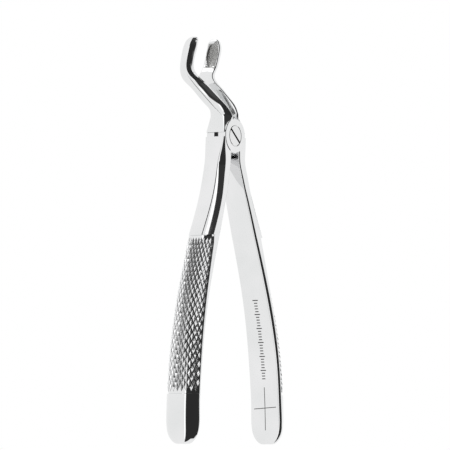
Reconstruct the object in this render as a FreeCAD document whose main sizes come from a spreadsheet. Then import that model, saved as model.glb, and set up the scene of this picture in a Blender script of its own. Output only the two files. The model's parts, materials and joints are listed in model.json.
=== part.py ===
import FreeCAD, Part
import Sketcher
import math
import os

# Extraction forceps for upper molars: two steel halves that cross at a hinge, and the screw they turn on.
# Millimetres. The origin is where the hinge axis meets the flat front face of the joint.
# +Z runs up to the beaks, +X to the right handle, +Y from the front face to the back face.
# The handles stand open, each as far from the middle plane as the other.

# Sizes that shape the joint, the screw and the gripping recess in each beak.
JOINT_SIZES = (
    ("joint_thick", 9.8, "front face to back face of the joint"),
    ("cheek_slip", 0.08, "gap between the two round cheeks"),
    ("cheek_radius", 7.4, "round cheek of each half"),
    ("cheek_bevel", 1.0, "slanted inner rim of a cheek, which leaves a groove between the two"),
    ("cheek_play", 0.12, "gap around a cheek where the other half wraps it"),
    ("screw_head_radius", 4.4, "flush screw head"),
    ("screw_head_thick", 2.2, "height of the screw head"),
    ("screw_neck_radius", 3.0, "screw shank, which the front half turns on"),
    ("screw_play", 0.05, "running gap around and under the screw head"),
    ("slot_wide", 0.8, "driver slot in the screw head"),
    ("slot_deep", 1.1, "driver slot depth"),
    ("slot_turn", 41.0, "slot tilt from level, in degrees"),
    ("scoop_level", 35.7, "middle of the gripping recess in a beak"),
    ("scoop_reach", 17.4, "middle of the recess from the front face"),
    ("scoop_inset", 7.5, "middle of the recess from the middle plane"),
    ("scoop_long", 5.5, "half length of the recess"),
    ("scoop_wide", 2.55, "half width of the recess"),
    ("scoop_deep", 1.2, "half thickness of the rounded recess cutter"),
    ("scoop_lean", 14.0, "lean of the beak towards the front, in degrees"),
    ("scoop_twist", 12.0, "turn of the recess towards the front, in degrees"),
    ("tooth_pitch", 0.8, "spacing of the lengthwise gripping grooves"),
    ("tooth_wide", 0.26, "half width of a gripping groove"),
    ("tooth_deep", 0.22, "depth of a gripping groove under the recess"),
    ("tooth_long", 4.9, "half length of a gripping groove"),
)

# Cross-sections of the right handle, from the joint down. Each is a flat-sided bar with rounded corners:
# name, height, inner face from the middle plane, thickness, width, inner and outer corner radius.
HANDLE_STATIONS = (
    ("shoulder", -0.6, 1.6, 6.7, 9.8, 0.5, 0.5),
    ("root", -10.0, 2.2, 6.9, 9.8, 0.5, 0.5),
    ("shank", -24.0, 6.8, 5.5, 11.3, 0.5, 1.6),
    ("collar", -42.0, 13.0, 7.1, 12.6, 0.5, 5.4),
    ("grip", -58.0, 18.8, 7.5, 13.4, 0.5, 6.4),
    ("palm", -78.0, 24.8, 7.6, 14.6, 0.5, 6.9),
    ("heel", -98.0, 28.6, 7.6, 15.5, 0.5, 6.9),
    ("cap", -117.5, 30.2, 7.5, 15.8, 0.5, 6.8),
    ("dome", -123.5, 30.4, 7.2, 15.7, 0.5, 6.5),
    ("bulb", -127.6, 30.6, 6.3, 13.6, 0.5, 5.5),
    ("end", -130.2, 30.9, 4.9, 9.8, 0.5, 3.8),
    ("tip", -131.3, 31.2, 3.6, 6.4, 0.4, 1.6),
)

# Cross-sections of the right neck and beak, from the joint up:
# name, height, inner face from the middle plane, thickness, front face, depth, inner and outer corner
# radius, and how far the section is turned to face the front, in degrees.
NECK_STATIONS = (
    ("ledge", 1.3, 1.6, 6.3, 0.0, 9.8, 0.5, 0.5, 0.0),
    ("waist", 8.2, 1.64, 3.1, 0.0, 9.8, 0.5, 0.5, 0.0),
    ("bend", 10.8, 2.3, 3.1, 1.0, 8.8, 0.5, 0.8, 0.0),
    ("ramp", 13.5, 2.9, 3.5, 2.9, 8.8, 0.5, 1.1, 0.0),
    ("rise", 17.5, 3.5, 3.7, 6.8, 8.5, 0.5, 1.4, 0.0),
    ("swell", 21.5, 3.8, 3.7, 10.8, 8.4, 0.5, 1.6, 0.0),
    ("crook", 24.6, 4.4, 4.0, 14.2, 8.1, 0.5, 1.7, 2.0),
    ("turn", 27.2, 6.1, 3.9, 16.0, 6.8, 0.5, 1.8, 7.0),
    ("beak", 30.3, 8.1, 3.7, 15.8, 6.2, 0.5, 1.9, 12.0),
    ("bite", 35.0, 8.5, 3.8, 14.6, 6.2, 0.5, 2.0, 12.0),
    ("nose", 39.0, 8.2, 3.8, 13.7, 6.0, 0.5, 1.9, 12.0),
    ("lip", 41.4, 7.5, 3.2, 13.8, 4.9, 0.5, 1.5, 9.0),
    ("point", 42.6, 7.3, 1.6, 14.6, 2.8, 0.3, 0.8, 4.0),
)

DOC = FreeCAD.newDocument("forceps")


def make_sheet():
    """One sheet holds every driving size; each value cell is named by its alias."""
    sheet = DOC.addObject("Spreadsheet::Sheet", "Sizes")
    rows = [(name, value) for name, value, _ in JOINT_SIZES]
    for name, level, inner, thick, width, edge, crown in HANDLE_STATIONS:
        rows.append((name + "_level", level))
        rows.append((name + "_inner", inner))
        rows.append((name + "_thick", thick))
        rows.append((name + "_width", width))
        rows.append((name + "_edge", edge))
        rows.append((name + "_crown", crown))
    for name, level, inner, thick, front, depth, edge, crown, twist in NECK_STATIONS:
        rows.append((name + "_level", level))
        rows.append((name + "_inner", inner))
        rows.append((name + "_thick", thick))
        rows.append((name + "_front", front))
        rows.append((name + "_depth", depth))
        rows.append((name + "_edge", edge))
        rows.append((name + "_crown", crown))
        rows.append((name + "_twist", twist))
    for number, (alias, value) in enumerate(rows, start=1):
        sheet.set("A%d" % number, alias)
        sheet.set("B%d" % number, str(value))
        sheet.setAlias("B%d" % number, alias)
    DOC.recompute()
    return sheet


SHEET = make_sheet()


def size(alias):
    return float(SHEET.get(alias))


def plane(body, role):
    """One of the body's own origin planes."""
    for feature in body.Origin.OriginFeatures:
        if feature.Role == role:
            return feature
    raise ValueError(role)


def new_sketch(body, name, role):
    sketch = body.newObject("Sketcher::SketchObject", name)
    sketch.AttachmentSupport = (plane(body, role), "")
    sketch.MapMode = "FlatFace"
    return sketch


def line(ax, ay, bx, by):
    return Part.LineSegment(FreeCAD.Vector(ax, ay, 0), FreeCAD.Vector(bx, by, 0))


def arc(cx, cy, radius, start, end):
    circle = Part.Circle(FreeCAD.Vector(cx, cy, 0), FreeCAD.Vector(0, 0, 1), radius)
    return Part.ArcOfCircle(circle, math.radians(start), math.radians(end))


def bind(sketch, index, name, expression):
    """Give a dimension a name and tie it to the sheet."""
    sketch.renameConstraint(index, name)
    sketch.setExpression("Constraints." + name, expression)


def bar_section(body, name, depth_word, front_expression):
    """A level cross-section: a rectangle with two inner and two outer rounded corners.

    The sketch's own origin is the section's inner front corner, carried to its place by the attachment."""
    sketch = new_sketch(body, name + "_section", "XY_Plane")
    sketch.setExpression("AttachmentOffset.Base.x", "Sizes.%s_inner" % name)
    sketch.setExpression("AttachmentOffset.Base.y", front_expression)
    sketch.setExpression("AttachmentOffset.Base.z", "Sizes.%s_level" % name)
    thick = size(name + "_thick")
    depth = size(name + "_" + depth_word)
    edge = size(name + "_edge")
    crown = size(name + "_crown")
    sketch.addGeometry(
        [
            line(0, edge, 0, depth - edge),
            arc(edge, depth - edge, edge, 90, 180),
            line(edge, depth, thick - crown, depth),
            arc(thick - crown, depth - crown, crown, 0, 90),
            line(thick, depth - crown, thick, crown),
            arc(thick - crown, crown, crown, 270, 360),
            line(thick - crown, 0, edge, 0),
            arc(edge, edge, edge, 180, 270),
        ],
        False,
    )
    joins = (
        (0, 2, 1, 2),
        (1, 1, 2, 1),
        (2, 2, 3, 2),
        (3, 1, 4, 1),
        (4, 2, 5, 2),
        (5, 1, 6, 1),
        (6, 2, 7, 2),
        (7, 1, 0, 1),
    )
    for first, first_end, second, second_end in joins:
        sketch.addConstraint(Sketcher.Constraint("Tangent", first, first_end, second, second_end))
    sketch.addConstraint(Sketcher.Constraint("Vertical", 0))
    sketch.addConstraint(Sketcher.Constraint("Vertical", 4))
    sketch.addConstraint(Sketcher.Constraint("Horizontal", 2))
    sketch.addConstraint(Sketcher.Constraint("Horizontal", 6))
    sketch.addConstraint(Sketcher.Constraint("PointOnObject", 0, 1, -2))
    sketch.addConstraint(Sketcher.Constraint("PointOnObject", 6, 1, -1))
    index = sketch.addConstraint(Sketcher.Constraint("DistanceX", -1, 1, 4, 1, thick))
    bind(sketch, index, "thick", "Sizes.%s_thick" % name)
    index = sketch.addConstraint(Sketcher.Constraint("DistanceY", -1, 1, 2, 1, depth))
    bind(sketch, index, "depth", "Sizes.%s_%s" % (name, depth_word))
    for geometry, word in ((1, "edge"), (3, "crown"), (5, "crown"), (7, "edge")):
        index = sketch.addConstraint(Sketcher.Constraint("Radius", geometry, size(name + "_" + word)))
        bind(sketch, index, "%s_%d" % (word, geometry), "Sizes.%s_%s" % (name, word))
    return sketch


def loft(body, name, sections, straight):
    feature = body.newObject("PartDesign::AdditiveLoft", name)
    feature.Profile = sections[0]
    feature.Sections = sections[1:]
    feature.Ruled = straight
    return feature


def make_handle():
    """Right handle: a flat-sided block in the joint, a smooth run down, and a rounded end."""
    body = DOC.addObject("PartDesign::Body", "handle")
    sections = {}
    for name in [row[0] for row in HANDLE_STATIONS]:
        front = "(Sizes.joint_thick - Sizes.%s_width) / 2" % name
        sections[name] = bar_section(body, name, "width", front)
    loft(body, "handle_block", [sections["shoulder"], sections["root"]], True)
    run = ("root", "shank", "collar", "grip", "palm", "heel", "cap", "dome")
    loft(body, "handle_run", [sections[name] for name in run], False)
    loft(body, "handle_end", [sections[name] for name in ("dome", "bulb", "end", "tip")], False)
    DOC.recompute()
    return body


def make_neck():
    """Right neck and beak: a flat-sided block in the joint, then a smooth run back and up."""
    body = DOC.addObject("PartDesign::Body", "neck")
    sections = []
    for name in [row[0] for row in NECK_STATIONS]:
        sketch = bar_section(body, name, "depth", "Sizes.%s_front" % name)
        sketch.setExpression("AttachmentOffset.Rotation.Angle", "Sizes.%s_twist" % name)
        sections.append(sketch)
    loft(body, "neck_block", sections[:3], True)
    loft(body, "neck_run", sections[2:], False)
    DOC.recompute()
    return body


def cylinder(name, radius, low, length):
    """A cylinder about the hinge axis, from depth `low` and `length` long, both as expressions."""
    feature = DOC.addObject("Part::Cylinder", name)
    feature.Placement = FreeCAD.Placement(
        FreeCAD.Vector(0, 0, 0), FreeCAD.Rotation(FreeCAD.Vector(1, 0, 0), -90)
    )
    feature.setExpression("Radius", radius)
    feature.setExpression("Height", length)
    feature.setExpression("Placement.Base.y", low)
    return feature


def cone(name, first_radius, last_radius, low, length):
    """A cone about the hinge axis, from depth `low` and `length` long, all as expressions."""
    feature = DOC.addObject("Part::Cone", name)
    feature.Placement = FreeCAD.Placement(
        FreeCAD.Vector(0, 0, 0), FreeCAD.Rotation(FreeCAD.Vector(1, 0, 0), -90)
    )
    feature.setExpression("Radius1", first_radius)
    feature.setExpression("Radius2", last_radius)
    feature.setExpression("Height", length)
    feature.setExpression("Placement.Base.y", low)
    return feature


def fuse(name, shapes):
    feature = DOC.addObject("Part::MultiFuse", name)
    feature.Shapes = shapes
    return feature


def cut(name, base, tool):
    feature = DOC.addObject("Part::Cut", name)
    feature.Base = base
    feature.Tool = tool
    return feature


def mirrored(name, source):
    """The same shape on the other side of the middle plane."""
    feature = DOC.addObject("Part::Mirroring", name)
    feature.Source = source
    feature.Base = (0, 0, 0)
    feature.Normal = (1, 0, 0)
    return feature


def egg(name, across, wide, tall, aside):
    """A rounded cutter at the beak's recess, `aside` from its middle line; sizes are expressions."""
    feature = DOC.addObject("Part::Ellipsoid", name)
    feature.Angle1 = -90
    feature.Angle2 = 90
    feature.Angle3 = 360
    lean = FreeCAD.Rotation(FreeCAD.Vector(1, 0, 0), size("scoop_lean"))
    twist = FreeCAD.Rotation(FreeCAD.Vector(0, 0, 1), size("scoop_twist"))
    feature.Placement = FreeCAD.Placement(FreeCAD.Vector(0, 0, 0), twist.multiply(lean))
    feature.setExpression("Radius1", tall)
    feature.setExpression("Radius2", across)
    feature.setExpression("Radius3", wide)
    level = "(%s) * cos(Sizes.scoop_lean * 1 deg)" % aside
    turn = "Sizes.scoop_twist * 1 deg"
    feature.setExpression("Placement.Base.x", "Sizes.scoop_inset - %s * sin(%s)" % (level, turn))
    feature.setExpression("Placement.Base.y", "Sizes.scoop_reach + %s * cos(%s)" % (level, turn))
    feature.setExpression(
        "Placement.Base.z", "Sizes.scoop_level + (%s) * sin(Sizes.scoop_lean * 1 deg)" % aside
    )
    return feature


def make_recess():
    """The spoon-shaped recess inside the right beak, with gripping grooves along its floor."""
    cutters = [egg("scoop", "Sizes.scoop_deep", "Sizes.scoop_wide", "Sizes.scoop_long", "0")]
    for number in range(-2, 3):
        aside = "%d * Sizes.tooth_pitch" % number
        floor = "Sizes.scoop_deep * sqrt(1 - (%s / Sizes.scoop_wide) ^ 2) + Sizes.tooth_deep" % aside
        name = "groove_%d" % (number + 3)
        cutters.append(egg(name, floor, "Sizes.tooth_wide", "Sizes.tooth_long", aside))
    return fuse("recess", cutters)


def make_front_half(handle, beak):
    """Right handle, front cheek and left beak; bored for the screw and cleared for the back cheek."""
    straight = "(Sizes.joint_thick - Sizes.cheek_slip) / 2 - Sizes.cheek_bevel"
    disc = cylinder("front_cheek", "Sizes.cheek_radius", "0", straight)
    rim = cone(
        "front_rim",
        "Sizes.cheek_radius",
        "Sizes.cheek_radius - Sizes.cheek_bevel",
        straight,
        "Sizes.cheek_bevel",
    )
    raw = fuse("front_forging", [handle, mirrored("left_beak", beak), disc, rim])
    clear = cylinder(
        "front_relief",
        "Sizes.cheek_radius + Sizes.cheek_play",
        "(Sizes.joint_thick - Sizes.cheek_slip) / 2",
        "Sizes.joint_thick",
    )
    bearing = cylinder(
        "front_bearing", "Sizes.screw_neck_radius + Sizes.screw_play", "-1", "Sizes.joint_thick"
    )
    seat = cylinder(
        "head_seat",
        "Sizes.screw_head_radius + Sizes.screw_play",
        "-1",
        "1 + Sizes.screw_head_thick + Sizes.screw_play",
    )
    return cut("front_half", raw, fuse("front_cutters", [clear, bearing, seat]))


def make_back_half(handle, beak):
    """Left handle, back cheek and right beak; holds the screw and is cleared for the front cheek."""
    disc = cylinder(
        "back_cheek",
        "Sizes.cheek_radius",
        "(Sizes.joint_thick + Sizes.cheek_slip) / 2 + Sizes.cheek_bevel",
        "(Sizes.joint_thick - Sizes.cheek_slip) / 2 - Sizes.cheek_bevel",
    )
    rim = cone(
        "back_rim",
        "Sizes.cheek_radius - Sizes.cheek_bevel",
        "Sizes.cheek_radius",
        "(Sizes.joint_thick + Sizes.cheek_slip) / 2",
        "Sizes.cheek_bevel",
    )
    raw = fuse("back_forging", [mirrored("left_handle", handle), beak, disc, rim])
    clear = cylinder(
        "back_relief",
        "Sizes.cheek_radius + Sizes.cheek_play",
        "(Sizes.joint_thick + Sizes.cheek_slip) / 2 - Sizes.joint_thick",
        "Sizes.joint_thick",
    )
    socket = cylinder("screw_socket", "Sizes.screw_neck_radius", "0", "Sizes.joint_thick + 1")
    return cut("back_half", raw, fuse("back_cutters", [clear, socket]))


def make_screw():
    """Turned flush screw with a driver slot right across its head."""
    body = DOC.addObject("PartDesign::Body", "hinge_screw")
    profile = new_sketch(body, "screw_profile", "XY_Plane")
    head = size("screw_head_radius")
    neck = size("screw_neck_radius")
    thick = size("screw_head_thick")
    deep = size("joint_thick")
    corners = ((0, 0), (head, 0), (head, thick), (neck, thick), (neck, deep), (0, deep))
    for number, (ax, ay) in enumerate(corners):
        bx, by = corners[(number + 1) % len(corners)]
        profile.addGeometry(line(ax, ay, bx, by), False)
    for number in range(len(corners)):
        profile.addConstraint(Sketcher.Constraint("Coincident", number, 2, (number + 1) % len(corners), 1))
    for number in (0, 2, 4):
        profile.addConstraint(Sketcher.Constraint("Horizontal", number))
    for number in (1, 3, 5):
        profile.addConstraint(Sketcher.Constraint("Vertical", number))
    profile.addConstraint(Sketcher.Constraint("Coincident", 0, 1, -1, 1))
    for kind, geometry, value, name, alias in (
        ("DistanceX", 0, head, "head", "screw_head_radius"),
        ("DistanceY", 1, thick, "thick", "screw_head_thick"),
        ("DistanceX", 3, neck, "neck", "screw_neck_radius"),
        ("DistanceY", 3, deep, "deep", "joint_thick"),
    ):
        index = profile.addConstraint(Sketcher.Constraint(kind, -1, 1, geometry, 2, value))
        bind(profile, index, name, "Sizes." + alias)
    turned = body.newObject("PartDesign::Revolution", "screw_turned")
    turned.Profile = profile
    turned.ReferenceAxis = (profile, ["V_Axis"])
    turned.Angle = 360
    DOC.recompute()
    cut_slot(body)
    return body


def cut_slot(body):
    """The driver slot, a straight channel across the head."""
    slot = new_sketch(body, "slot_outline", "XZ_Plane")
    slot.setExpression("AttachmentOffset.Rotation.Angle", "-Sizes.slot_turn")
    reach = size("screw_head_radius") + 1
    half_wide = size("slot_wide") / 2
    corners = ((-reach, -half_wide), (reach, -half_wide), (reach, half_wide), (-reach, half_wide))
    for number, (ax, ay) in enumerate(corners):
        bx, by = corners[(number + 1) % 4]
        slot.addGeometry(line(ax, ay, bx, by), False)
    for number in range(4):
        slot.addConstraint(Sketcher.Constraint("Coincident", number, 2, (number + 1) % 4, 1))
    for number in (0, 2):
        slot.addConstraint(Sketcher.Constraint("Horizontal", number))
        slot.addConstraint(Sketcher.Constraint("Vertical", number + 1))
    slot.addConstraint(Sketcher.Constraint("Symmetric", 0, 1, 1, 2, -1, 1))
    index = slot.addConstraint(Sketcher.Constraint("DistanceY", 1, 1, 1, 2, 2 * half_wide))
    bind(slot, index, "wide", "Sizes.slot_wide")
    index = slot.addConstraint(Sketcher.Constraint("DistanceX", 0, 1, 0, 2, 2 * reach))
    bind(slot, index, "long", "2 * (Sizes.screw_head_radius + 1)")
    pocket = body.newObject("PartDesign::Pocket", "slot")
    pocket.Profile = slot
    pocket.setExpression("Length", "Sizes.slot_deep")


def check(objects):
    """Refuse to write anything unless every object is sound."""
    for item in DOC.Objects:
        for word in ("Invalid", "Error"):
            if word in item.State:
                raise RuntimeError("%s is %s" % (item.Name, word))
    for item in objects:
        if item.Shape.isNull() or not item.Shape.isValid():
            raise RuntimeError("%s has no sound shape" % item.Name)
        if len(item.Shape.Solids) != 1:
            raise RuntimeError("%s is %d solids" % (item.Name, len(item.Shape.Solids)))


def main():
    handle = make_handle()
    neck = make_neck()
    beak = cut("right_beak", neck, make_recess())
    nodes = [make_front_half(handle, beak), make_back_half(handle, beak), make_screw()]
    DOC.recompute()
    check(nodes)
    os.makedirs("parts", exist_ok=True)
    for node in nodes:
        node.Shape.exportStep("parts/%s.step" % node.Label)
        print(node.Label, round(node.Shape.Volume, 1), node.Shape.BoundBox)


main()
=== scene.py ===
import json
import math

import bmesh
import bpy
import numpy as np
from mathutils import Matrix, Vector


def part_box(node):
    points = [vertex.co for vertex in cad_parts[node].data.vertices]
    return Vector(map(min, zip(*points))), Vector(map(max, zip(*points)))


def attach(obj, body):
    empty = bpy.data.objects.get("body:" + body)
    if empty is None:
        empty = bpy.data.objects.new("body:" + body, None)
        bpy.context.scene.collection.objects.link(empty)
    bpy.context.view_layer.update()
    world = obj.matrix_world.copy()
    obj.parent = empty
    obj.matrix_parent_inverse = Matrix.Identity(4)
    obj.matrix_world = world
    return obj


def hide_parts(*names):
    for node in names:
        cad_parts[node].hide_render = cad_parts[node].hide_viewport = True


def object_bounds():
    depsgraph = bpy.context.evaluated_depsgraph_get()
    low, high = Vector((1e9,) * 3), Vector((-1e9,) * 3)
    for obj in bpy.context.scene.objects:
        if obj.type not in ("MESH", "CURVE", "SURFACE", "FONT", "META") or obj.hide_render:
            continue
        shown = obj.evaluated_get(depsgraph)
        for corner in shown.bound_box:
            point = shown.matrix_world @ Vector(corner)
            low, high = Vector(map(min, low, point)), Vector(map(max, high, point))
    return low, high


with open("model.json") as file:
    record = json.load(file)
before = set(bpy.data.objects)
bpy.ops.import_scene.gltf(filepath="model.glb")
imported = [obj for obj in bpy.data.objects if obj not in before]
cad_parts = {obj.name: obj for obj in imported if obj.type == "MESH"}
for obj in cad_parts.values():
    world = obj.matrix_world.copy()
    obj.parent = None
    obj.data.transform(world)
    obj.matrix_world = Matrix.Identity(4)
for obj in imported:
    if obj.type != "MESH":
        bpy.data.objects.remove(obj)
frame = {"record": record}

MM = 0.001

# ---------------------------------------------------------------- what the frame gives
cad_low, cad_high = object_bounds()
screw_low, screw_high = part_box("hinge_screw")
HINGE = Vector(frame["record"]["behaviour"]["joints"][0]["pos_m"])
JOINT_THICK = (screw_high.y - screw_low.y) / MM
SCREW_HEAD = screw_high.x / MM
LOWEST = cad_low.z / MM

# ---------------------------------------------------------------- sizes, millimetres and degrees
# Joint: the round cheeks, the clearances round them, and the screw with its driver slot.
CHEEK_RADIUS = 7.4
CHEEK_BEVEL = 1.0
CHEEK_SLIP = 0.08
CHEEK_PLAY = 0.12
EDGE_BREAK = 0.18
SCREW_NECK = 3.0
SCREW_PLAY = 0.05
HEAD_THICK = 2.2
HEAD_BREAK = 0.16
BEYOND = 2.0
SLOT_WIDE = 0.95
SLOT_DEEP = 1.1
SLOT_TURN = 41.0

# Knurled bands: where they end, the plain border at each rim, and the teeth that stand on them.
KNURL_TOP = -43.0
KNURL_FOOT = -110.3
KNURL_BORDER = 0.3
KNURL_RAMP = 0.25
TOOTH_RISE = 0.5
TOOTH_ROW = 1.93
TOOTH_WIDE = 1.8
TOOTH_COLUMNS = 9
TOOTH_ROOT = 0.03
WORN_TIP = 0.16
HEIGHT_SCATTER = 0.08
SEED = 7

# Gripping recess in each beak: its place, half sizes and turns, and the ridges on its floor.
SCOOP_AT = (7.5, 17.4, 35.7)
SCOOP_HALF = (1.2, 2.55, 5.5)
SCOOP_LEAN = 14.0
SCOOP_TWIST = 12.0
RIDGE_PITCH = 0.6
RIDGE_RISE = 0.17
RIDGES_ASIDE = 4
RIDGE_BITS = 26
RIDGE_REACH = 0.86

# Slanted flat inside each handle just under the joint.
RELIEF_HEAD = -12.8
RELIEF_FOOT = -23.0
RELIEF_TILT = 6.0

# Etched cross and ticks inside the right handle.
CROSS_HEAD = -106.8
CROSS_FOOT = -125.3
CROSS_LEVEL = -115.7
CROSS_HALF = 5.65
CROSS_TILT = 0.37
MARK_WIDE = 0.32
TICK_HEAD = -69.5
TICK_PITCH = 1.2
TICK_COUNT = 29
TICK_HALF = 1.4
MARK_PROUD = 0.012
MARK_DEEP = 0.05

# Right handle from the joint down: height, inner face, thickness, width, inner edge radius; then the front
# corner: how far its bevel reaches across the thickness and across the width, the radius it starts with and
# the narrow step before it; then the back corner's rounding across the thickness and across the width.
SHANK_ROWS = (
    (-0.6, 1.6, 6.7, 9.8, 0.5, 0.35, 0.4, 0.05, 0.0, 0.3, 0.3),
    (-3.0, 1.75, 6.75, 9.8, 0.5, 0.7, 0.95, 0.5, 0.0, 0.4, 0.4),
    (-6.0, 1.95, 6.8, 9.8, 0.5, 1.1, 1.7, 0.8, 0.05, 0.4, 0.4),
    (-10.0, 2.2, 6.9, 9.8, 0.55, 1.8, 2.6, 0.9, 0.1, 0.5, 0.5),
    (-16.0, 3.95, 6.3, 10.35, 0.65, 1.8, 3.2, 2.6, 0.2, 0.8, 0.9),
    (-24.0, 6.8, 5.5, 11.3, 0.8, 1.8, 3.8, 4.8, 0.25, 1.2, 1.6),
    (-42.9, 13.35, 7.1, 12.65, 1.1, 1.9, 5.0, 7.7, 0.25, 2.0, 3.0),
)
GRIP_ROWS = (
    (-43.0, 13.4, 7.1, 12.65, 1.15, 3.0, 5.3, 4.8, 0.0, 2.0, 3.0),
    (-58.0, 18.8, 7.5, 13.4, 1.3, 4.6, 6.0, 5.2, 0.0, 3.6, 4.6),
    (-78.0, 24.8, 7.6, 14.6, 1.35, 5.6, 6.2, 5.5, 0.0, 5.0, 6.2),
    (-98.0, 28.6, 7.6, 15.5, 1.2, 6.0, 6.3, 5.7, 0.0, 5.8, 7.65),
    (-117.5, 30.2, 7.44, 15.62, 1.25, 6.1, 6.2, 5.6, 0.0, 5.7, 7.8),
    (-123.5, 30.4, 7.15, 15.5, 1.25, 5.9, 6.1, 5.4, 0.0, 5.5, 7.75),
    (-127.6, 30.6, 6.3, 13.6, 1.2, 5.1, 5.2, 4.6, 0.0, 4.7, 6.6),
    (-130.2, 30.9, 4.9, 9.8, 1.0, 3.8, 3.9, 3.4, 0.0, 3.5, 4.6),
    (-131.0, 31.1, 4.0, 7.4, 0.8, 3.0, 3.0, 2.6, 0.0, 2.8, 3.4),
    (-131.3, 31.3, 3.1, 5.6, 0.6, 2.3, 2.2, 1.9, 0.0, 2.1, 2.5),
)

# Right neck and beak from the joint up: height, inner face, thickness, front face, depth, then as above,
# and last how far the section is turned to face the front, in degrees.
NECK_ROWS = (
    (1.3, 1.6, 6.3, 0.0, 9.8, 0.5, 0.5, 0.65, 0.1, 0.0, 0.3, 0.3, 0),
    (8.2, 1.64, 3.1, 0.0, 9.8, 0.6, 2.4, 3.5, 2.6, 0.0, 0.5, 0.5, 0),
    (9.4, 1.9, 3.08, 0.25, 9.5, 0.7, 2.3, 4.1, 3.7, 0.05, 0.6, 0.7, 0),
    (10.8, 2.3, 3.1, 1.0, 8.8, 0.7, 2.3, 4.7, 4.9, 0.1, 0.8, 0.9, 0),
    (13.5, 2.9, 3.5, 2.9, 8.8, 0.8, 2.4, 5.2, 6.2, 0.2, 1.0, 1.2, 0),
    (17.5, 3.5, 3.7, 6.8, 8.5, 0.6, 2.3, 4.9, 5.7, 0.2, 1.1, 1.4, 0),
    (21.5, 3.8, 3.7, 10.8, 8.4, 0.5, 2.1, 4.7, 5.4, 0.2, 1.2, 1.6, 0),
    (24.6, 4.4, 4.0, 14.2, 8.0, 0.5, 2.0, 3.4, 2.2, 0.1, 1.4, 1.8, 2),
    (27.2, 6.1, 3.9, 16.0, 6.7, 0.5, 1.8, 2.2, 1.0, 0.0, 1.7, 2.1, 7),
    (30.3, 8.1, 3.7, 15.8, 6.2, 0.5, 1.7, 1.5, 0.5, 0.0, 1.9, 2.3, 12),
    (35.0, 8.5, 3.8, 14.6, 6.2, 0.5, 1.7, 1.5, 0.5, 0.0, 1.9, 2.3, 12),
    (39.0, 8.2, 3.8, 13.7, 6.0, 0.5, 1.7, 1.5, 0.5, 0.0, 1.8, 2.3, 12),
    (41.1, 7.6, 3.35, 13.75, 5.1, 0.5, 1.6, 1.5, 0.6, 0.0, 1.6, 2.0, 9.5),
    (42.1, 7.35, 2.5, 14.15, 3.8, 0.4, 1.3, 1.3, 0.6, 0.0, 1.2, 1.5, 6),
    (42.6, 7.35, 1.45, 14.8, 2.5, 0.3, 0.8, 0.9, 0.5, 0.0, 0.8, 0.9, 4),
)


# ---------------------------------------------------------------- fairing and sections
def fair(rows, spacing):
    """A smooth run through the rows: a natural cubic curve by distance travelled, sampled at `spacing`."""
    rows = np.array(rows, float)
    middle = np.stack([rows[:, 1] + rows[:, 2] / 2, rows[:, 3] + rows[:, 4] / 2, rows[:, 0]], 1)
    half = np.stack([rows[:, 2] / 2, rows[:, 4] / 2], 1)
    steps = np.sqrt((np.diff(middle, axis=0) ** 2).sum(1) + (np.diff(half, axis=0) ** 2).sum(1))
    along = np.concatenate([[0.0], np.cumsum(steps)])
    count = len(rows)
    matrix = np.zeros((count, count))
    right = np.zeros((count, rows.shape[1]))
    matrix[0, 0] = matrix[-1, -1] = 1.0
    for i in range(1, count - 1):
        matrix[i, i - 1] = steps[i - 1]
        matrix[i, i] = 2 * (steps[i - 1] + steps[i])
        matrix[i, i + 1] = steps[i]
        right[i] = 6 * ((rows[i + 1] - rows[i]) / steps[i] - (rows[i] - rows[i - 1]) / steps[i - 1])
    bend = np.linalg.solve(matrix, right)
    places = np.linspace(0.0, along[-1], max(2, int(along[-1] / spacing) + 1))
    out = []
    for place in places:
        i = min(int(np.searchsorted(along, place, side="right")) - 1, count - 2)
        step = steps[i]
        a = (along[i + 1] - place) / step
        b = 1 - a
        curve = ((a**3 - a) * bend[i] + (b**3 - b) * bend[i + 1]) * step * step / 6
        out.append(a * rows[i] + b * rows[i + 1] + curve)
    return out


def arc(cx, cy, rx, ry, start, end, count):
    """Points on an elliptical corner, without its last point."""
    turns = np.radians(np.linspace(start, end, count + 1)[:-1])
    return [(cx + rx * math.cos(t), cy + ry * math.sin(t)) for t in turns]


def straight(ax, ay, bx, by, count):
    """Points on a straight side, without its last point."""
    return [(ax + (bx - ax) * i / count, ay + (by - ay) * i / count) for i in range(count)]


# Each section lists its points in one order; the outer crown is CROWN_COUNT sides from point CROWN_FIRST.
CROWN_FIRST = 10
CROWN_COUNT = 40


def lowered(crown, sink):
    """The crown turned down by that much, fading out at its two rims."""
    crown = np.array(crown)
    if not sink:
        return [tuple(p) for p in crown]
    run = np.gradient(crown, axis=0)
    inward = np.stack([run[:, 1], -run[:, 0]], 1)
    inward /= np.linalg.norm(inward, axis=1)[:, None]
    steps = np.linalg.norm(np.diff(crown, axis=0), axis=1)
    along = np.concatenate([[0.0], np.cumsum(steps)])
    fade = np.clip(np.minimum(along, along[-1] - along) / KNURL_BORDER, 0.0, 1.0)
    return [tuple(p) for p in crown + inward * (sink * fade)[:, None]]


def cut_in(y, row):
    """Depth of the slanted flat that is cut inside a handle just under the joint."""
    level, front, depth = row[0], row[3], row[4]
    if not RELIEF_FOOT < level < 0:
        return 0.0
    rise = RELIEF_HEAD - RELIEF_FOOT
    away = ((level - RELIEF_FOOT) * depth - (y - front) * rise) / math.hypot(depth, rise)
    return max(0.0, away * math.tan(math.radians(RELIEF_TILT)))


def inner_side(row):
    """The inside face from front to back, with a point on the crease where the slanted flat ends."""
    level, inner, _, front, depth, edge = row[:6]
    near, far = front + edge, front + depth - edge
    crease = front + (level - RELIEF_FOOT) / (RELIEF_HEAD - RELIEF_FOOT) * depth
    crease = min(far - 0.1, max(near + 0.1, crease))
    stops = [near, (near + crease) / 2, crease, (crease + far) / 2, far]
    return [(inner + cut_in(y, row), y) for y in stops]


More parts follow.
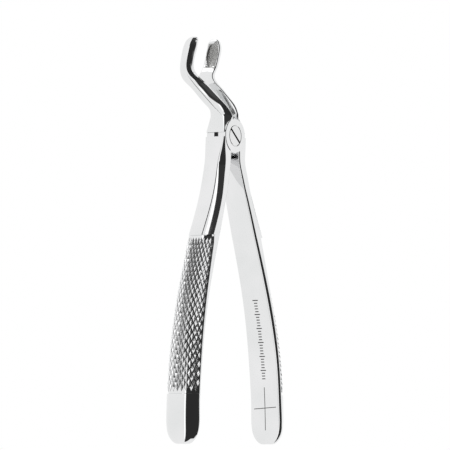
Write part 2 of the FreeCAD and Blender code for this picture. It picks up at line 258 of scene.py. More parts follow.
def front_bevel(outer, front, across, along, radius, step):
    """The front corner: a narrow step, a rounding and then a flat that meets the front face in a crease."""
    outer, across, along = outer - step, across - step, along - step
    far = math.hypot(along, across - radius)
    turn = math.degrees(math.atan2(across - radius, along) + math.asin(min(1.0, radius / far)))
    points = [(outer + step, front + along + step)]
    points += arc(outer - radius, front + along, radius, radius, 0, -turn, 14)
    swept = math.radians(turn)
    leave = (outer - radius * (1 - math.cos(swept)), front + along - radius * math.sin(swept))
    points += straight(*leave, outer - across, front, 3)
    return points + [(outer - across, front)]


def section(row, sink=0.0):
    """One level cross-section of a bar as points: flat inside, and rounded and sunk by `sink` outside."""
    _, inner, thick, front, depth, edge, across, along, radius, step, back_across, back_along, twist = row
    outer, back = inner + thick, front + depth
    inside = inner_side(row)
    near, far = inside[0][0], inside[-1][0]
    points = inside[:-1]
    points += arc(far + edge, back - edge, edge, edge, 180, 90, 4)
    points += straight(far + edge, back, outer - back_across, back, 2)
    crown = arc(outer - back_across, back - back_along, back_across, back_along, 90, 0, 16)
    crown += straight(outer, back - back_along, outer, front + along, 6)
    crown += front_bevel(outer, front, across, along, radius, step)
    points += lowered(crown, sink)[:-1]
    points += straight(outer - across, front, near + edge, front, 2)
    points += arc(near + edge, front + edge, edge, edge, 270, 180, 4)
    turn = math.radians(twist)
    turned_points = []
    for x, y in points:
        x, y = x - inner, y - front
        x, y = x * math.cos(turn) - y * math.sin(turn), x * math.sin(turn) + y * math.cos(turn)
        turned_points.append((x + inner, y + front))
    return turned_points


def with_front(rows):
    """Handle rows with front face and depth in place of width, so that both bars share one section."""
    return [(*row[:3], (JOINT_THICK - row[3]) / 2, *row[3:], 0) for row in rows]


def handle_runs():
    """Faired rows of a handle; the first step under the joint and the knurl's top edge stay sharp."""
    shank = with_front(SHANK_ROWS)
    return [shank[0]] + fair(shank[1:], 0.8) + fair(with_front(GRIP_ROWS), 0.8)


def neck_runs():
    """Faired rows of a neck and beak; the ledge beside the joint stays straight."""
    return list(NECK_ROWS[:2]) + fair(NECK_ROWS[2:], 0.4)


def sink_at(level):
    """How far the crown is turned down at this height for the knurl to stand on."""
    top = min(1.0, max(0.0, (KNURL_TOP - level) / KNURL_RAMP))
    foot = min(1.0, max(0.0, (level - KNURL_FOOT) / KNURL_RAMP))
    return TOOTH_RISE * min(top, foot)


def row_at(rows, level):
    """The faired row at any height between the ends."""
    levels = np.array([r[0] for r in rows])[::-1]
    table = np.array(rows, float)[::-1]
    return tuple(np.interp(level, levels, table[:, k]) for k in range(table.shape[1]))


# ---------------------------------------------------------------- mesh building
def new_object(name, mesh):
    """A linked object at the origin."""
    obj = bpy.data.objects.new(name, mesh)
    bpy.context.scene.collection.objects.link(obj)
    return obj


def finish_bmesh(bm, name):
    """Turn a bmesh into a closed object with its normals outward."""
    bmesh.ops.remove_doubles(bm, verts=bm.verts, dist=1e-7)
    bmesh.ops.recalc_face_normals(bm, faces=bm.faces)
    mesh = bpy.data.meshes.new(name)
    bm.to_mesh(mesh)
    bm.free()
    return new_object(name, mesh)


def skin(name, rings, side):
    """A closed bar through rings of (height, points); side -1 puts it left of the middle plane."""
    bm = bmesh.new()
    loops = []
    for level, points in rings:
        loops.append([bm.verts.new((side * x * MM, y * MM, level * MM)) for x, y in points])
    count = len(loops[0])
    for low, high in zip(loops, loops[1:]):
        for i in range(count):
            j = (i + 1) % count
            bm.faces.new((low[i], low[j], high[j], high[i]))
    bm.faces.new(loops[0])
    bm.faces.new(list(reversed(loops[-1])))
    return finish_bmesh(bm, name)


def turned(name, profile, count=128):
    """A solid turned about the hinge axis from (radius, depth) points that start and end on the axis."""
    bm = bmesh.new()
    rings = []
    for radius, depth in profile:
        if radius == 0:
            rings.append([bm.verts.new((0, depth * MM, 0))])
            continue
        ring = []
        for i in range(count):
            turn = 2 * math.pi * i / count
            across, up = radius * MM * math.cos(turn), radius * MM * math.sin(turn)
            ring.append(bm.verts.new((across, depth * MM, up)))
        rings.append(ring)
    for low, high in zip(rings, rings[1:]):
        for i in range(count):
            j = (i + 1) % count
            corners = [low[i % len(low)], low[j % len(low)], high[j % len(high)], high[i % len(high)]]
            corners = list(dict.fromkeys(corners))
            if len(corners) > 2:
                bm.faces.new(corners)
    return finish_bmesh(bm, name)


def work(base, tool, how):
    """Join, cut or keep-in-common with a tool, which is used up."""
    modifier = base.modifiers.new("work", "BOOLEAN")
    modifier.operation = how
    modifier.solver = "EXACT"
    modifier.object = tool
    graph = bpy.context.evaluated_depsgraph_get()
    mesh = bpy.data.meshes.new_from_object(base.evaluated_get(graph))
    base.modifiers.remove(modifier)
    base.data = mesh
    bpy.data.objects.remove(tool)
    return base


def soften(obj, degrees=32.0):
    """Smooth shading everywhere but across real edges."""
    bm = bmesh.new()
    bm.from_mesh(obj.data)
    bmesh.ops.remove_doubles(bm, verts=bm.verts, dist=2e-7)
    bmesh.ops.dissolve_degenerate(bm, edges=bm.edges, dist=2e-7)
    for face in bm.faces:
        face.smooth = True
    for edge in bm.edges:
        if len(edge.link_faces) == 2:
            edge.smooth = edge.calc_face_angle(0.0) < math.radians(degrees)
    bm.to_mesh(obj.data)
    bm.free()
    return obj


# ---------------------------------------------------------------- pieces
def handle_bar(name, side):
    """One handle, with its crown sunk where the knurl stands."""
    rows = handle_runs()
    extra = [KNURL_TOP - KNURL_RAMP, KNURL_FOOT + KNURL_RAMP, KNURL_FOOT - 0.01]
    levels = sorted({round(row[0], 4) for row in rows} | set(extra), reverse=True)
    return skin(name, [(level, section(row_at(rows, level), sink_at(level))) for level in levels], side)


def neck_bar(name, side):
    """One neck with its beak."""
    return skin(name, [(row[0], section(row)) for row in neck_runs()], side)


def scoop_frame(side):
    """Turns and carries a shape from the origin to one beak's recess; side -1 mirrors it to the left."""
    lean = Matrix.Rotation(math.radians(SCOOP_LEAN), 4, "X")
    twist = Matrix.Rotation(math.radians(SCOOP_TWIST), 4, "Z")
    place = Matrix.Translation([v * MM for v in SCOOP_AT]) @ twist @ lean
    return Matrix.Diagonal((side, 1.0, 1.0, 1.0)) @ place


def scoop_size(side):
    """Carries a ball of radius one to the egg that cuts one beak's recess."""
    return scoop_frame(side) @ Matrix.Diagonal((*[v * MM for v in SCOOP_HALF], 1.0))


def scoop_cutter(side):
    """The egg that cuts a recess."""
    bm = bmesh.new()
    bmesh.ops.create_uvsphere(bm, u_segments=48, v_segments=40, radius=1.0)
    bm.transform(scoop_size(side))
    return finish_bmesh(bm, "scoop cutter")


def line_recess(obj, side):
    """Give the floor of a beak's recess the second finish."""
    back = scoop_size(side).inverted()
    lowest = (SCOOP_AT[2] - 2 * SCOOP_HALF[2]) * MM
    for face in obj.data.polygons:
        on_floor = abs((back @ face.center).length - 1.0) < 0.05
        face.material_index = 1 if on_floor and face.center.z > lowest else 0


def facing(profile, front):
    """The profile as drawn from the front face, or turned about to start from the back face."""
    return profile if front else [(radius, JOINT_THICK - depth) for radius, depth in profile]


def cheek(front):
    """Round cheek with a broken outer edge and a slanted inner rim, in the front or the back half."""
    radius, cut, slant = CHEEK_RADIUS, EDGE_BREAK, CHEEK_BEVEL
    deep = (JOINT_THICK - CHEEK_SLIP) / 2
    rim = [(radius - cut, 0), (radius, cut), (radius, deep - slant), (radius - slant, deep)]
    return turned("cheek", facing([(0, 0), *rim, (0, deep)], front))


def relief(front):
    """What the other half's cheek needs to be clear of this half."""
    radius, cut = CHEEK_RADIUS + CHEEK_PLAY, EDGE_BREAK
    deep = (JOINT_THICK + CHEEK_SLIP) / 2
    rim = [(radius + cut + BEYOND, -BEYOND), (radius + cut, 0), (radius, cut), (radius, deep)]
    return turned("relief", facing([(0, -BEYOND), *rim, (0, deep)], front))


def front_half():
    """Right handle, front cheek with the screw's bore, and left neck and beak."""
    half = handle_bar("front_forging", 1)
    neck = work(neck_bar("neck", -1), scoop_cutter(-1), "DIFFERENCE")
    work(half, neck, "UNION")
    work(half, relief(False), "DIFFERENCE")
    work(half, cheek(True), "UNION")
    seat, bearing = SCREW_HEAD + SCREW_PLAY, SCREW_NECK + SCREW_PLAY
    under, through = HEAD_THICK + SCREW_PLAY, 8.0
    mouth = [(0, -BEYOND), (seat + HEAD_BREAK, -BEYOND), (seat + HEAD_BREAK, 0), (seat, HEAD_BREAK)]
    bore = [(seat, under), (bearing, under), (bearing, through), (0, through)]
    return soften(work(half, turned("bore", mouth + bore), "DIFFERENCE"))


def back_half():
    """Left handle, back cheek with the screw's socket, and right neck and beak."""
    half = handle_bar("back_forging", -1)
    neck = work(neck_bar("neck", 1), scoop_cutter(1), "DIFFERENCE")
    work(half, neck, "UNION")
    work(half, relief(True), "DIFFERENCE")
    work(half, cheek(False), "UNION")
    start, end = BEYOND, JOINT_THICK + BEYOND
    socket = [(0, start), (SCREW_NECK, start), (SCREW_NECK, end), (0, end)]
    return soften(work(half, turned("socket", socket), "DIFFERENCE"))


def hinge_screw():
    """Flush screw with a driver slot across its head."""
    head, neck, deep = SCREW_HEAD, SCREW_NECK, JOINT_THICK
    cap = [(0, 0), (head - HEAD_BREAK, 0), (head, HEAD_BREAK), (head, HEAD_THICK)]
    screw = turned("screw", cap + [(neck, HEAD_THICK), (neck, deep), (0, deep)])
    bm = bmesh.new()
    bmesh.ops.create_cube(bm, size=1.0)
    size = Matrix.Diagonal((3 * head * MM, 2 * SLOT_DEEP * MM, SLOT_WIDE * MM, 1.0))
    bm.transform(Matrix.Rotation(math.radians(SLOT_TURN), 4, "Y") @ size)
    slot = finish_bmesh(bm, "slot")
    return soften(work(screw, slot, "DIFFERENCE"))


def line_slot(screw):
    """Give the walls and floor of the driver slot the second finish: near-black painted shade."""
    level = Matrix.Rotation(math.radians(-SLOT_TURN), 4, "Y")
    near = 0.01 * MM
    for face in screw.data.polygons:
        between = abs((level @ face.center).z) < SLOT_WIDE / 2 * MM + near
        face.material_index = 1 if between and near < face.center.y < SLOT_DEEP * MM + near else 0


# ---------------------------------------------------------------- repeated teeth and ridges
def group(name, inputs):
    """A new tree with its named inputs, and its ends."""
    tree = bpy.data.node_groups.new(name, "GeometryNodeTree")
    tree.interface.new_socket("Geometry", in_out="INPUT", socket_type="NodeSocketGeometry")
    for label, kind, value in inputs:
        socket = tree.interface.new_socket(label, in_out="INPUT", socket_type=kind)
        if value is not None:
            socket.default_value = value
    tree.interface.new_socket("Geometry", in_out="OUTPUT", socket_type="NodeSocketGeometry")
    return tree, tree.nodes.new("NodeGroupInput"), tree.nodes.new("NodeGroupOutput")


def math_node(tree, how, first, second):
    """One sum on two values, each a number or another node's output."""
    node = tree.nodes.new("ShaderNodeMath")
    node.operation = how
    for socket, value in zip(node.inputs, (first, second)):
        if isinstance(value, (int, float)):
            socket.default_value = value
        else:
            tree.links.new(value, socket)
    return node.outputs[0]


def attribute(tree, name, kind):
    """Reads a value that the seed mesh carries."""
    node = tree.nodes.new("GeometryNodeInputNamedAttribute")
    node.data_type = kind
    node.inputs["Name"].default_value = name
    return node.outputs["Attribute"]


def tooth(tree, given):
    """One four-sided tooth, a unit long, wide and high, which notes how far up it each point lies, so that
    the knurl finish can paint shade low down.
    """
    link = tree.links.new
    cone = tree.nodes.new("GeometryNodeMeshCone")
    cone.inputs["Vertices"].default_value = 4
    cone.inputs["Radius Bottom"].default_value = 0.5
    cone.inputs["Depth"].default_value = 1.0
    link(math_node(tree, "MULTIPLY", given.outputs["Worn tip"], 0.5), cone.inputs["Radius Top"])
    where = tree.nodes.new("GeometryNodeInputPosition")
    parts = tree.nodes.new("ShaderNodeSeparateXYZ")
    link(where.outputs[0], parts.inputs[0])
    note = tree.nodes.new("GeometryNodeStoreNamedAttribute")
    note.data_type = "FLOAT"
    note.inputs["Name"].default_value = "rise"
    link(cone.outputs["Mesh"], note.inputs["Geometry"])
    link(parts.outputs["Z"], note.inputs["Value"])
    return note.outputs["Geometry"]


def tooth_size(tree, given):
    """Length, width and a height that falls short by a different amount on each tooth."""
    link = tree.links.new
    scatter = tree.nodes.new("FunctionNodeRandomValue")
    scatter.data_type = "FLOAT"
    link(math_node(tree, "SUBTRACT", 1.0, given.outputs["Height scatter"]), scatter.inputs[2])
    scatter.inputs[3].default_value = 1.0
    link(given.outputs["Seed"], scatter.inputs["Seed"])
    height = math_node(tree, "MULTIPLY", given.outputs["Tooth height"], scatter.outputs[1])
    size = tree.nodes.new("ShaderNodeCombineXYZ")
    link(given.outputs["Tooth length"], size.inputs[0])
    link(given.outputs["Tooth width"], size.inputs[1])
    link(height, size.inputs[2])
    return size.outputs[0]


def knurl_tree():
    """Diamond teeth set on the grip's marked places, each turned to the surface it stands on."""
    tree, given, made = group(
        "knurl teeth",
        [
            ("Tooth length", "NodeSocketFloat", 0.0038),
            ("Tooth width", "NodeSocketFloat", 0.0018),
            ("Tooth height", "NodeSocketFloat", 0.0004),
            ("Worn tip", "NodeSocketFloat", 0.16),
            ("Height scatter", "NodeSocketFloat", 0.1),
            ("Seed", "NodeSocketInt", 7),
            ("Finish", "NodeSocketMaterial", None),
        ],
    )
    link = tree.links.new
    turn = tree.nodes.new("FunctionNodeAxesToRotation")
    turn.primary_axis = "Z"
    turn.secondary_axis = "X"
    link(attribute(tree, "outward", "FLOAT_VECTOR"), turn.inputs[0])
    link(attribute(tree, "lengthwise", "FLOAT_VECTOR"), turn.inputs[1])
    place = tree.nodes.new("GeometryNodeInstanceOnPoints")
    link(given.outputs["Geometry"], place.inputs["Points"])
    link(tooth(tree, given), place.inputs["Instance"])
    link(turn.outputs[0], place.inputs["Rotation"])
    link(tooth_size(tree, given), place.inputs["Scale"])
    return close_tree(tree, given, made, place.outputs["Instances"])


def close_tree(tree, given, made, geometry):
    """Every tree ends by making real mesh of its instances and giving it its finish."""
    real = tree.nodes.new("GeometryNodeRealizeInstances")
    finish = tree.nodes.new("GeometryNodeSetMaterial")
    tree.links.new(geometry, real.inputs[0])
    tree.links.new(real.outputs[0], finish.inputs["Geometry"])
    tree.links.new(given.outputs["Finish"], finish.inputs["Material"])
    tree.links.new(finish.outputs[0], made.inputs[0])
    return tree


def ridge_tree():
    """Fine ridges that follow the drawn lines, each thinning out to its ends."""
    tree, given, made = group(
        "gripping ridges",
        [
            ("Ridge size", "NodeSocketFloat", 0.0002),
            ("Finish", "NodeSocketMaterial", None),
        ],
    )
    link = tree.links.new
    lines = tree.nodes.new("GeometryNodeMeshToCurve")
    link(given.outputs["Geometry"], lines.inputs[0])
    shape = tree.nodes.new("GeometryNodeCurvePrimitiveCircle")
    shape.inputs["Resolution"].default_value = 4
    link(given.outputs["Ridge size"], shape.inputs["Radius"])
    sweep = tree.nodes.new("GeometryNodeCurveToMesh")
    link(lines.outputs[0], sweep.inputs["Curve"])
    link(shape.outputs["Curve"], sweep.inputs["Profile Curve"])
    sweep.inputs["Fill Caps"].default_value = True
    link(attribute(tree, "swell", "FLOAT"), sweep.inputs["Scale"])
    return close_tree(tree, given, made, sweep.outputs["Mesh"])


def grow(seeds, tree, name, values):
    """Run a tree on its seed mesh and keep the result as a plain mesh."""
    modifier = seeds.modifiers.new("grow", "NODES")
    modifier.node_group = tree
    for item in tree.interface.items_tree:
        if item.item_type == "SOCKET" and item.in_out == "INPUT" and item.name in values:
            modifier[item.identifier] = values[item.name]
    graph = bpy.context.evaluated_depsgraph_get()
    mesh = bpy.data.meshes.new_from_object(seeds.evaluated_get(graph))
    seeds.modifiers.remove(modifier)
    bpy.data.objects.remove(seeds)
    mesh.name = name
    return new_object(name, mesh)


def seed_mesh(name, points, edges, attributes):
    """Points and lines that carry values for a tree to read."""
    mesh = bpy.data.meshes.new(name)
    mesh.from_pydata(points, edges, [])
    for label, kind, values in attributes:
        layer = mesh.attributes.new(label, kind, "POINT")
        flat = np.array(values, np.float32).ravel()
        layer.data.foreach_set("vector" if kind == "FLOAT_VECTOR" else "value", flat)
    return new_object(name, mesh)


def crown_places(row, next_row, shift, side):
    """Evenly spaced places round the sunk crown of one row, with the way out and the way along."""
    here = np.array(section(row, TOOTH_RISE))[CROWN_FIRST:CROWN_FIRST + CROWN_COUNT + 1]
    there = np.array(section(next_row, TOOTH_RISE))[CROWN_FIRST:CROWN_FIRST + CROWN_COUNT + 1]
    steps = np.linalg.norm(np.diff(here, axis=0), axis=1)
    along = np.concatenate([[0.0], np.cumsum(steps)])
    middle = along[-1] / 2
    reach = middle - TOOTH_WIDE / 2
    pitch = 2 * reach / TOOTH_COLUMNS
    found = []
    for k in range(TOOTH_COLUMNS + shift):
        place = (k + (1 - shift) / 2) * pitch - reach
        at = [np.interp(middle + place, along, here[:, a]) for a in (0, 1)]
        ahead = [np.interp(middle + place + 0.3, along, here[:, a]) for a in (0, 1)]
        behind = [np.interp(middle + place - 0.3, along, here[:, a]) for a in (0, 1)]
        below = [np.interp(middle + place, along, there[:, a]) for a in (0, 1)]
        sideways = np.array([side * (ahead[0] - behind[0]), ahead[1] - behind[1], 0.0])
        lengthwise = np.array([side * (below[0] - at[0]), below[1] - at[1], next_row[0] - row[0]])
        outward = np.cross(sideways, lengthwise)
        outward /= np.linalg.norm(outward)
        if outward[0] * side < 0:
            outward = -outward
        found.append(((side * at[0], at[1], row[0]), outward, lengthwise / np.linalg.norm(lengthwise)))
    return found


def knurl(name, side, finish):
    """The knurled band outside one handle."""
    rows = handle_runs()[1:]
    count = int((KNURL_TOP - KNURL_FOOT - TOOTH_ROW * 2) / TOOTH_ROW)
    start = (KNURL_TOP + KNURL_FOOT + count * TOOTH_ROW) / 2
    places = []
    for i in range(count + 1):
        level = start - i * TOOTH_ROW
        row, next_row = row_at(rows, level), row_at(rows, level - 0.5)
        places += crown_places(row, next_row, i % 2, side)
    points = [tuple((np.array(p) - TOOTH_ROOT * out) * MM) for p, out, _ in places]
    seeds = seed_mesh(
        name + " places",
        points,
        [],
        [
            ("outward", "FLOAT_VECTOR", [out for _, out, _ in places]),
            ("lengthwise", "FLOAT_VECTOR", [run for _, _, run in places]),
        ],
    )
    values = {
        "Tooth length": 2 * TOOTH_ROW * MM,
        "Tooth width": TOOTH_WIDE * MM,
        "Tooth height": (TOOTH_RISE + TOOTH_ROOT) * MM,
        "Worn tip": WORN_TIP,
        "Height scatter": HEIGHT_SCATTER,
        "Seed": SEED,
        "Finish": finish,
    }
    return grow(seeds, knurl_tree(), name, values)


def ridges(name, side, finish):
    """Lengthwise ridges on the floor of one beak's recess."""
    place = scoop_frame(side)
    points, edges, swell = [], [], []
    for k in range(-RIDGES_ASIDE, RIDGES_ASIDE + 1):
        aside = k * RIDGE_PITCH
        half = SCOOP_HALF[2] * math.sqrt(max(0.0, 1 - (aside / SCOOP_HALF[1]) ** 2)) * RIDGE_REACH
        first = len(points)
        for i in range(RIDGE_BITS + 1):
            up = half * (2 * i / RIDGE_BITS - 1)
            level = 1 - (aside / SCOOP_HALF[1]) ** 2 - (up / SCOOP_HALF[2]) ** 2
            deep = SCOOP_HALF[0] * math.sqrt(max(0.0, level))
            points.append(place @ (Vector((deep, aside, up)) * MM))
            swell.append(0.25 + 0.75 * max(0.0, math.sin(math.pi * i / RIDGE_BITS)) ** 0.5)
            if i:
                edges.append((first + i - 1, first + i))
    seeds = seed_mesh(name + " lines", points, edges, [("swell", "FLOAT", swell)])
    return grow(seeds, ridge_tree(), name, {"Ridge size": RIDGE_RISE * MM, "Finish": finish})


# ---------------------------------------------------------------- etched marks
def etched_line(bm, rows, start, end, width):
    """A thin strip just proud of the right handle's inside face, from (depth, height) to (depth, height)."""
    run = Vector((end[0] - start[0], end[1] - start[1]))
    aside = Vector((-run.y, run.x)).normalized() * width / 2
    bits = max(1, int(run.length / 1.5))
    loops = []
    for i in range(bits + 1):
        at = Vector(start) + run * (i / bits)
        corners = []
        for way, lift in ((1, MARK_PROUD), (-1, MARK_PROUD), (-1, -MARK_DEEP), (1, -MARK_DEEP)):
            y, z = at + aside * way
            inner = row_at(rows, z)[1]
            corners.append(bm.verts.new(((inner - lift) * MM, y * MM, z * MM)))
        loops.append(corners)
    for low, high in zip(loops, loops[1:]):
        for i in range(4):
            j = (i + 1) % 4
            bm.faces.new((low[i], low[j], high[j], high[i]))
    bm.faces.new(loops[0])
    bm.faces.new(list(reversed(loops[-1])))


def marks(name):
    """A plain cross and a plain row of ticks etched inside the right handle."""
    rows = handle_runs()
    middle = JOINT_THICK / 2
    bm = bmesh.new()
    etched_line(bm, rows, (middle, CROSS_HEAD), (middle, CROSS_FOOT), MARK_WIDE)
    low, high = CROSS_LEVEL - CROSS_TILT, CROSS_LEVEL + CROSS_TILT
    etched_line(bm, rows, (middle - CROSS_HALF, high), (middle + CROSS_HALF, low), MARK_WIDE)
    for i in range(TICK_COUNT):
        level = TICK_HEAD - i * TICK_PITCH
        half = TICK_HALF if i % 5 == 0 else TICK_HALF * 0.6
        etched_line(bm, rows, (middle - half, level), (middle + half, level), MARK_WIDE * 1.3)
    return finish_bmesh(bm, name)


# ---------------------------------------------------------------- finishes
def new_material(name):
    """A material with its tree and its shader."""
    material = bpy.data.materials.new(name)
    material.use_nodes = True
    tree = material.node_tree
    shader = tree.nodes["Principled BSDF"]
    return material, tree, shader


def grain(tree, scale, detail, stretch=(1.0, 1.0, 1.0)):
    """A noise pattern fixed to the piece; `scale` is how many blotches there are in a metre."""
    where = tree.nodes.new("ShaderNodeTexCoord")
    fit = tree.nodes.new("ShaderNodeMapping")
    fit.inputs["Scale"].default_value = stretch
    noise = tree.nodes.new("ShaderNodeTexNoise")
    noise.inputs["Scale"].default_value = scale
    noise.inputs["Detail"].default_value = detail
    tree.links.new(where.outputs["Object"], fit.inputs["Vector"])
    tree.links.new(fit.outputs["Vector"], noise.inputs["Vector"])
    return noise.outputs["Fac"]


def spread(tree, source, low, high):
    """Map a pattern onto a range of values."""
    node = tree.nodes.new("ShaderNodeMapRange")
    node.inputs["To Min"].default_value = low
    node.inputs["To Max"].default_value = high
    tree.links.new(source, node.inputs["Value"])
    return node.outputs["Result"]


def tint(tree, source, dark, light):
    """Colour a pattern from dark to light."""
    ramp = tree.nodes.new("ShaderNodeValToRGB")
    ramp.color_ramp.elements[0].position = 0.3
    ramp.color_ramp.elements[0].color = (*dark, 1)
    ramp.color_ramp.elements[1].position = 0.7
    ramp.color_ramp.elements[1].color = (*light, 1)
    tree.links.new(source, ramp.inputs["Fac"])
    return ramp.outputs["Color"]


def dent(tree, shader, source, strength, distance):
    """Press a pattern into the surface."""
    bump = tree.nodes.new("ShaderNodeBump")
    bump.inputs["Strength"].default_value = strength
    bump.inputs["Distance"].default_value = distance
    tree.links.new(source, bump.inputs["Height"])
    tree.links.new(bump.outputs["Normal"], shader.inputs["Normal"])


def steel(name, dark, light, rough_low, rough_high, stretch, bump):
    """Stainless steel: a slightly uneven polish with fine lines left along `stretch`."""
    material, tree, shader = new_material(name)
    shader.inputs["Metallic"].default_value = 1.0
    tree.links.new(tint(tree, grain(tree, 60, 3), dark, light), shader.inputs["Base Color"])
    rough = spread(tree, grain(tree, 900, 4, stretch), rough_low, rough_high)
    tree.links.new(rough, shader.inputs["Roughness"])
    dent(tree, shader, grain(tree, 700, 3, stretch), bump, 0.00002)
    return material


def knurled_steel_with_painted_shade():
    """Bright tooth tips, and grooves painted near black as painted shade, with more roughness low down."""
    material, tree, shader = new_material("knurled steel with painted groove shade")
    shader.inputs["Metallic"].default_value = 0.75
    rise = tree.nodes.new("ShaderNodeAttribute")
    rise.attribute_name = "rise"
    uneven = math_node(tree, "MULTIPLY", grain(tree, 1500, 3), 0.15)
    height = math_node(tree, "ADD", rise.outputs["Fac"], uneven)
    # Painted shade: low on each tooth and in the grooves between teeth the colour is near black, and towards
    # the tips it is bright steel.
    ramp = tree.nodes.new("ShaderNodeValToRGB")
    ramp.color_ramp.elements[0].position = 0.16
    ramp.color_ramp.elements[0].color = (0.02, 0.02, 0.02, 1)
    ramp.color_ramp.elements[1].position = 0.4
    ramp.color_ramp.elements[1].color = (0.93, 0.935, 0.94, 1)
    tree.links.new(height, ramp.inputs["Fac"])
    tree.links.new(ramp.outputs["Color"], shader.inputs["Base Color"])
    tree.links.new(spread(tree, height, 0.2, 0.07), shader.inputs["Roughness"])
    dent(tree, shader, grain(tree, 2500, 3), 0.15, 0.00002)
    return material


def etched_steel():
    """Grey lines left by etching."""
    material, tree, shader = new_material("etched line")
    shader.inputs["Metallic"].default_value = 0.3
    shade = tint(tree, grain(tree, 3000, 3), (0.05, 0.05, 0.05), (0.12, 0.12, 0.12))
    tree.links.new(shade, shader.inputs["Base Color"])
    tree.links.new(spread(tree, grain(tree, 2000, 2), 0.5, 0.8), shader.inputs["Roughness"])
    return material


# How the fine lines of a finish are drawn out: long, short or not at all.
ALONG = (1.0, 1.0, 0.08)
SHORT = (1.0, 1.0, 0.2)
EVEN = (1.0, 1.0, 1.0)

# Plain steels: name, dark and light colour, least and most roughness, stretch of the lines, and their depth.
STEELS = {
    "polished": ("mirror polished steel", (0.76, 0.77, 0.77), (0.82, 0.82, 0.825), 0.04, 0.09, ALONG, 0.05),
    "gripping": ("blasted gripping steel", (0.42, 0.42, 0.41), (0.72, 0.72, 0.71), 0.35, 0.5, SHORT, 0.4),
    "turned": ("turned screw steel", (0.74, 0.75, 0.75), (0.8, 0.8, 0.805), 0.08, 0.16, EVEN, 0.1),
    # The slot's near-black colour is painted shade for the shadowed driver slot, not a colour of the steel.
    "slot": ("slot steel painted near black for shade", (0.015, 0.015, 0.015), (0.04, 0.04, 0.04), 0.4, 0.6, EVEN, 0.3),
}


def finishes():
    """Every finish by its short name."""
    made = {short: steel(*values) for short, values in STEELS.items()}
    made["knurled"] = knurled_steel_with_painted_shade()
    made["etched"] = etched_steel()
    return made


# ---------------------------------------------------------------- light, floor and camera
def within(tree, value, low, high, soft):
    """1 where value lies between low and high, with soft edges, else 0."""
    rise = tree.nodes.new("ShaderNodeMapRange")
    rise.interpolation_type = "SMOOTHSTEP"
    rise.inputs["From Min"].default_value = low - soft
    rise.inputs["From Max"].default_value = low + soft
    fall = tree.nodes.new("ShaderNodeMapRange")
    fall.interpolation_type = "SMOOTHSTEP"
    fall.inputs["From Min"].default_value = high + soft
    fall.inputs["From Max"].default_value = high - soft
    both = tree.nodes.new("ShaderNodeMath")
    both.operation = "MULTIPLY"
    tree.links.new(value, rise.inputs["Value"])
    tree.links.new(value, fall.inputs["Value"])
    tree.links.new(rise.outputs["Result"], both.inputs[0])
    tree.links.new(fall.outputs["Result"], both.inputs[1])
    return both.outputs[0]


# Flags and lamps on the white tent: low and high bearing, low and high lift, edge softness, and brightness,
# below 1 for a dark flag. Bearing is measured from -X towards -Y and lift above the horizon, in degrees.
PATCHES = (
    (28.0, 125.0, -95.0, 27.0, 2.0, 0.03),
    (-4.0, 135.0, 17.0, 52.0, 2.0, 0.04),
    (20.0, 178.0, 42.0, 88.0, 2.0, 0.07),
    (-30.0, -8.0, 12.0, 60.0, 2.0, 1.5),
    (17.0, 25.0, -60.0, 14.0, 2.0, 1.5),
)


def studio():
    """A white tent all round, with dark flags and lamps that only the polished faces show."""
    world = bpy.data.worlds.new("studio")
    bpy.context.scene.world = world
    world.use_nodes = True
    tree = world.node_tree
    sky = tree.nodes["Background"]
    where = tree.nodes.new("ShaderNodeTexCoord")
    split = tree.nodes.new("ShaderNodeSeparateXYZ")
    tree.links.new(where.outputs["Generated"], split.inputs[0])
    x, y, z = split.outputs
    leftward = math_node(tree, "MULTIPLY", x, -1.0)
    frontward = math_node(tree, "MULTIPLY", y, -1.0)
    bearing = math_node(tree, "MULTIPLY", math_node(tree, "ARCTAN2", frontward, leftward), 180 / math.pi)
    lift = math_node(tree, "MULTIPLY", math_node(tree, "ARCSINE", z, 0.0), 180 / math.pi)
    white = 1.0
    for left, right, low, high, soft, bright in PATCHES:
        across, upward = within(tree, bearing, left, right, soft), within(tree, lift, low, high, soft)
        patch = math_node(tree, "MULTIPLY", across, upward)
        change = math_node(tree, "ADD", 1.0, math_node(tree, "MULTIPLY", patch, bright - 1.0))
        white = math_node(tree, "MINIMUM" if bright < 1 else "MULTIPLY", white, change)
    path = tree.nodes.new("ShaderNodeLightPath")
    hidden = math_node(tree, "SUBTRACT", 1.0, path.outputs["Is Camera Ray"])
    seen = math_node(tree, "ADD", math_node(tree, "MULTIPLY", white, hidden), path.outputs["Is Camera Ray"])
    tree.links.new(seen, sky.inputs["Color"])
    sky.inputs["Strength"].default_value = 1.0


FLOOR_UNDER = 30.0
FLOOR_HALF = 3000.0


def floor():
    """A plain pale floor well under the handles."""
    bm = bmesh.new()
    bmesh.ops.create_grid(bm, x_segments=1, y_segments=1, size=FLOOR_HALF * MM)
    bm.transform(Matrix.Translation((0, 0, (LOWEST - FLOOR_UNDER) * MM)))
    obj = finish_bmesh(bm, "floor")
    material, tree, shader = new_material("pale floor")
    shade = tint(tree, grain(tree, 4, 2), (0.8, 0.8, 0.8), (0.84, 0.84, 0.84))
    tree.links.new(shade, shader.inputs["Base Color"])
    tree.links.new(spread(tree, grain(tree, 30, 2), 0.6, 0.8), shader.inputs["Roughness"])
    obj.data.materials.append(material)
    # Polished faces turned downward show the flags below the horizon instead of this floor.
    obj.visible_glossy = False


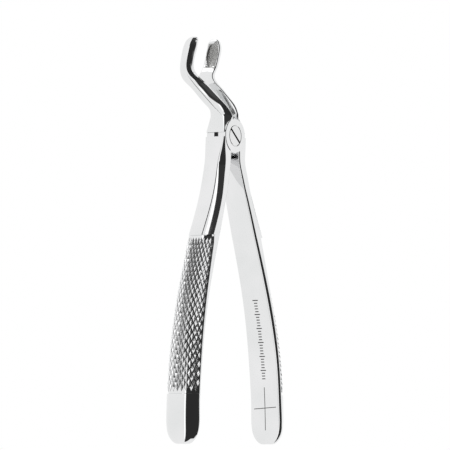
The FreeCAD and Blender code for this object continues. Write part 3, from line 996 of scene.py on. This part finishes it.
VIEW_TURN = 56.0
VIEW_LIFT = -3.0
VIEW_AWAY = 1900.0
VIEW_WIDE = 192.15
AIM_LEFT = 0.4
AIM_DOWN = 37.9


def camera():
    """Seen from the left front, a little from below, so that the left handle's outside faces the viewer."""
    data = bpy.data.cameras.new("camera")
    obj = new_object("camera", data)
    turn, lift, away = math.radians(VIEW_TURN), math.radians(VIEW_LIFT), VIEW_AWAY * MM
    back = Vector((-math.sin(turn) * math.cos(lift), -math.cos(turn) * math.cos(lift), math.sin(lift)))
    right = Vector((math.cos(turn), -math.sin(turn), 0.0))
    up = right.cross(-back).normalized()
    aim = HINGE - (right * AIM_LEFT + up * AIM_DOWN) * MM
    obj.location = aim + back * away
    obj.rotation_euler = (-back).to_track_quat("-Z", "Y").to_euler()
    data.sensor_width = 36.0
    data.lens = data.sensor_width * away / (VIEW_WIDE * MM)
    data.clip_start, data.clip_end = 0.05, 50.0
    bpy.context.scene.camera = obj


def build():
    """Every piece, riding its body and wearing its finish."""
    finish = finishes()
    for made, body, node, slot in (
        (front_half(), "front_half", "front_half", "front_steel"),
        (back_half(), "back_half", "back_half", "back_steel"),
        (hinge_screw(), "back_half", "hinge_screw", "screw_steel"),
    ):
        made.data.materials.clear()
        made.data.materials.append(finish["turned" if node == "hinge_screw" else "polished"])
        if node == "hinge_screw":
            # The driver slot's walls and floor get the near-black painted shade.
            made.data.materials.append(finish["slot"])
            line_slot(made)
        else:
            made.data.materials.append(finish["gripping"])
            line_recess(made, -1 if node == "front_half" else 1)
        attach(made, body)
        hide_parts(node)
    scored = marks("front_marks")
    scored.data.materials.append(finish["etched"])
    for made, body, slot in (
        (scored, "front_half", "front_steel"),
        (knurl("front_knurl", 1, finish["knurled"]), "front_half", "front_steel"),
        (knurl("back_knurl", -1, finish["knurled"]), "back_half", "back_steel"),
        (ridges("front_ridges", -1, finish["gripping"]), "front_half", "front_steel"),
        (ridges("back_ridges", 1, finish["gripping"]), "back_half", "back_steel"),
    ):
        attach(made, body)


build()
floor()
studio()
camera()
bpy.context.scene.view_settings.view_transform = "Standard"
